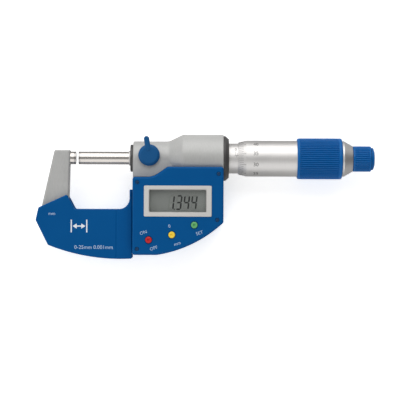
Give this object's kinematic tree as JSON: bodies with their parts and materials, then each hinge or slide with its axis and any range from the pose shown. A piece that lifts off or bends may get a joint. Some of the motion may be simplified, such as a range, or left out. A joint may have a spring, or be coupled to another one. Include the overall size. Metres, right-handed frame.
{
  "type": "outside micrometer",
  "caption": "Digital outside micrometer: C-shaped frame with anvil, screw-driven spindle and thimble, ratchet stop, spindle lock lever and a display housing with push buttons.",
  "frame": {"origin": "centre of the footprint on the surface that the micrometer lies on, below its back cover", "axes": "+X along the spindle from anvil to ratchet stop, +Y from the bow towards the lock lever, +Z out of the display"},
  "size_m": [0.171, 0.063, 0.0272],
  "materials": {
    "frame_paint": "matte light grey stoved paint on a casting",
    "satin_steel": "satin chromed, turned",
    "ground_steel": "ground and lapped",
    "carbide": "lapped hard metal",
    "blue_shell": "satin moulded",
    "blue_grip": "ribbed moulding",
    "blue_lever": "satin moulded",
    "black_plastic": "fine matte",
    "black_screw": "blued steel",
    "black_rubber": "matte",
    "grey_bezel": "fine matte",
    "clear_window": "polished",
    "display": "liquid crystal cell behind a polariser",
    "circuit": "solder mask",
    "brass": "machined",
    "copper_film": "polyimide film",
    "battery_steel": "plated can",
    "red_key": "moulded",
    "yellow_key": "moulded",
    "green_key": "moulded"
  },
  "bodies": {
    "frame_unit": {"frame": "frame_paint", "anvil": "ground_steel", "anvil_carbide_tip": "carbide", "spindle_seal_ring": "black_plastic", "spindle_wiper": "satin_steel", "bow_cover_front": "blue_shell", "bow_cover_back": "blue_shell", "housing_front_shell": "blue_shell", "housing_gasket": "black_rubber", "back_cover": "blue_shell", "housing_screw_1": "black_screw", "housing_screw_2": "black_screw", "housing_screw_3": "black_screw", "housing_screw_4": "black_screw", "back_screw_1": "black_screw", "back_screw_2": "black_screw", "back_screw_3": "black_screw", "back_screw_4": "black_screw", "display_bezel": "grey_bezel", "display_window": "clear_window", "lcd_panel": "display", "lcd_connector": "black_rubber", "circuit_board": "circuit", "button_keypad": "black_rubber", "battery": "battery_steel", "battery_contact": "brass", "encoder_stator": "circuit", "encoder_flex": "copper_film", "sleeve": "satin_steel", "adjusting_nut": "satin_steel", "barrel_end_cap": "black_plastic"},
    "encoder_rotor_unit": {"encoder_rotor": "circuit", "rotor_bush": "brass", "rotor_key": "satin_steel"},
    "spindle_unit": {"spindle": "ground_steel", "spindle_carbide_tip": "carbide", "thimble": "satin_steel", "thimble_grip": "blue_grip", "thimble_end_cone": "satin_steel", "ratchet_screw": "satin_steel", "ratchet_wheel": "satin_steel"},
    "ratchet_knob_unit": {"ratchet_knob": "blue_grip", "ratchet_end_cap": "blue_grip", "ratchet_spring": "satin_steel"},
    "ratchet_pawl_unit": {"ratchet_pawl": "brass"},
    "lock_lever_unit": {"lock_lever": "blue_lever", "lock_screw": "satin_steel"},
    "lock_shoe_unit": {"lock_shoe": "brass"},
    "button_red_unit": {"button_red": "red_key"},
    "button_yellow_unit": {"button_yellow": "yellow_key"},
    "button_green_unit": {"button_green": "green_key"},
    "battery_cap_unit": {"battery_cap": "black_plastic", "battery_cap_seal": "black_rubber"}
  },
  "joints": [
    {"name": "thimble_turn", "type": "hinge", "parent": "frame_unit", "child": "encoder_rotor_unit", "pos_m": [-0.00209, 0.01944, 0.0126], "axis": [1, 0, 0], "range_deg": [-964.9, 17032.4]},
    {"name": "spindle_feed", "type": "slide", "parent": "encoder_rotor_unit", "child": "spindle_unit", "axis": [1, 0, 0], "range_m": [-0.00134, 0.02366]},
    {"name": "ratchet_turn", "type": "hinge", "parent": "spindle_unit", "child": "ratchet_knob_unit", "pos_m": [0.07941, 0.01944, 0.0126], "axis": [1, 0, 0], "continuous": true},
    {"name": "ratchet_pawl_click", "type": "slide", "parent": "ratchet_knob_unit", "child": "ratchet_pawl_unit", "axis": [1, 0, 0], "range_m": [0, 0.00045], "stiffness_N_per_m": 2000, "springref_m": -0.0005, "deforming": ["ratchet_spring"]},
    {"name": "lock_lever_turn", "type": "hinge", "parent": "frame_unit", "child": "lock_lever_unit", "pos_m": [-0.02839, 0.02084, 0.0216], "axis": [0, 0, -1], "range_deg": [0, 60.01]},
    {"name": "lock_shoe_press", "type": "slide", "parent": "frame_unit", "child": "lock_shoe_unit", "axis": [0, 0, -1], "range_m": [0, 0.00015]},
    {"name": "button_red_press", "type": "slide", "parent": "frame_unit", "child": "button_red_unit", "axis": [0, 0, -1], "range_m": [0, 0.0006], "stiffness_N_per_m": 1500, "springref_m": -0.0003},
    {"name": "button_yellow_press", "type": "slide", "parent": "frame_unit", "child": "button_yellow_unit", "axis": [0, 0, -1], "range_m": [0, 0.0006], "stiffness_N_per_m": 1500, "springref_m": -0.0003},
    {"name": "button_green_press", "type": "slide", "parent": "frame_unit", "child": "button_green_unit", "axis": [0, 0, -1], "range_m": [0, 0.0006], "stiffness_N_per_m": 1500, "springref_m": -0.0003},
    {"name": "battery_cap_turn", "type": "hinge", "parent": "frame_unit", "child": "battery_cap_unit", "pos_m": [-0.02159, -0.01456, 0.0006], "axis": [0, 0, -1], "range_deg": [0, 45]}
  ],
  "couplings": [
    {"joint": "thimble_turn", "follows": "spindle_feed", "rad_per_m": 12566},
    {"joint": "lock_lever_turn", "follows": "lock_shoe_press", "rad_per_m": 6981.3}
  ]
}
